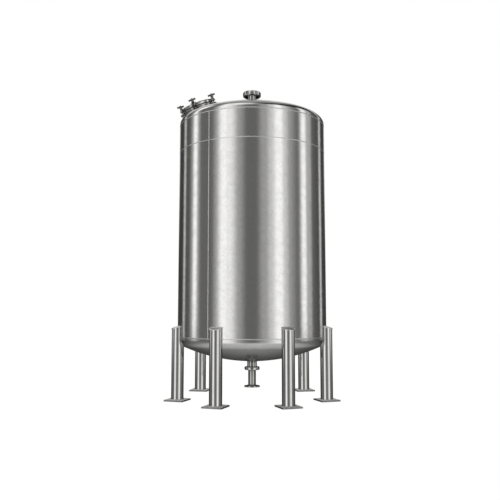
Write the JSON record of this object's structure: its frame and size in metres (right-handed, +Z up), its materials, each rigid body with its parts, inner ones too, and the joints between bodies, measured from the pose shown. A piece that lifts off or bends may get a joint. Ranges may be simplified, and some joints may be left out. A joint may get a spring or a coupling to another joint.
{
  "type": "vertical storage tank",
  "caption": "Vertical stainless steel storage tank: cylindrical shell with dished ends on round pipe legs, side manway with swing bolts, capped top nozzle and flanged bottom outlet.",
  "frame": {"origin": "on the floor under the middle of the whole object's box; the tank's own axis stands 45 mm behind it, because the legs are unevenly spaced", "axes": "+Z up along the tank axis, -Y is the front that the picture shows, +X to its right"},
  "size_m": [2.2578, 2.0901, 4.2],
  "materials": {
    "shell_steel": "brushed to a soft shine, with vertical reflections",
    "head_steel": "brushed in rings, satin",
    "leg_steel": "polished pipe",
    "plate_steel": "satin plate with bright edges",
    "fitting_steel": "turned and polished",
    "cover_steel": "pressed and polished",
    "bolt_steel": "turned bar",
    "gasket_rubber": "matt black rubber"
  },
  "bodies": {
    "tank": {"shell_main_course": "shell_steel", "shell_top_course": "shell_steel", "top_head": "head_steel", "bottom_head": "head_steel", "leg_front_left": "leg_steel", "leg_front_right": "leg_steel", "leg_side_left": "leg_steel", "leg_side_right": "leg_steel", "leg_back_left": "leg_steel", "leg_back_right": "leg_steel", "leg_cap_front_left": "leg_steel", "leg_cap_front_right": "leg_steel", "leg_cap_side_left": "leg_steel", "leg_cap_side_right": "leg_steel", "leg_cap_back_left": "leg_steel", "leg_cap_back_right": "leg_steel", "base_plate_front_left": "plate_steel", "base_plate_front_right": "plate_steel", "base_plate_side_left": "plate_steel", "base_plate_side_right": "plate_steel", "base_plate_back_left": "plate_steel", "base_plate_back_right": "plate_steel", "top_nozzle_neck": "fitting_steel", "top_nozzle_nut": "fitting_steel", "top_nozzle_blank": "fitting_steel", "outlet_neck": "fitting_steel", "outlet_nut": "fitting_steel", "outlet_pipe": "fitting_steel", "outlet_flange": "fitting_steel", "manway_neck": "fitting_steel", "manway_rim": "fitting_steel", "manway_gasket": "gasket_rubber", "manway_cover": "cover_steel", "clevis_front": "fitting_steel", "clevis_right": "fitting_steel", "clevis_back": "fitting_steel", "clevis_left": "fitting_steel"},
    "swing_bolt_front": {"swing_bolt_front": "bolt_steel", "t_nut_front": "bolt_steel"},
    "swing_bolt_right": {"swing_bolt_right": "bolt_steel", "t_nut_right": "bolt_steel"},
    "swing_bolt_back": {"swing_bolt_back": "bolt_steel", "t_nut_back": "bolt_steel"},
    "swing_bolt_left": {"swing_bolt_left": "bolt_steel", "t_nut_left": "bolt_steel"}
  },
  "joints": [
    {"name": "front_bolt_hinge", "type": "hinge", "parent": "tank", "child": "swing_bolt_front", "pos_m": [-0.75651, -0.38228, 3.83447], "axis": [0.9303, -0.2087, 0.3015], "range_deg": [0, 90]},
    {"name": "right_bolt_hinge", "type": "hinge", "parent": "tank", "child": "swing_bolt_right", "pos_m": [-0.51156, -0.20967, 3.96098], "axis": [0.1347, 0.9592, 0.2485], "range_deg": [0, 90]},
    {"name": "back_bolt_hinge", "type": "hinge", "parent": "tank", "child": "swing_bolt_back", "pos_m": [-0.69457, 0.05896, 3.9488], "axis": [-0.9303, 0.2087, -0.3015], "range_deg": [0, 90]},
    {"name": "left_bolt_hinge", "type": "hinge", "parent": "tank", "child": "swing_bolt_left", "pos_m": [-0.93952, -0.11366, 3.82229], "axis": [-0.1347, -0.9592, -0.2485], "range_deg": [0, 90]}
  ]
}
